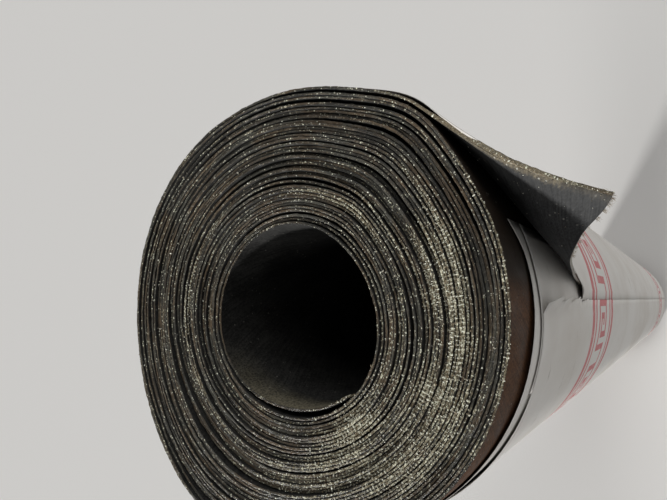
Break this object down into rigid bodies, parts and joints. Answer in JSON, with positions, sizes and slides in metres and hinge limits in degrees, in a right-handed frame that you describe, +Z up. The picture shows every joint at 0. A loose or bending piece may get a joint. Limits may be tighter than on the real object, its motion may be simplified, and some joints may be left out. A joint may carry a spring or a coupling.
{
  "type": "roll of roofing felt",
  "caption": "Roll of bitumen roofing felt standing on end, with an open bore, bare ends that show its turns, a lifted outer corner and a white paper wrapper.",
  "frame": {"origin": "centre of the bore at the lower end, on the floor", "axes": "+Z up the bore to the end with the lifted corner; +X towards the side where the free edge runs down the barrel"},
  "size_m": [0.1705, 0.1497, 1],
  "materials": {
    "felt": "matt black bitumen felt with brown fibrous cut edges, dusted with pale mineral grains",
    "paper": "matt white wrapping paper with dull red printed border stripes, creased and slightly dusty"
  },
  "bodies": {
    "root": {"felt_roll": "felt", "paper_wrapper": "paper"}
  },
  "joints": []
}
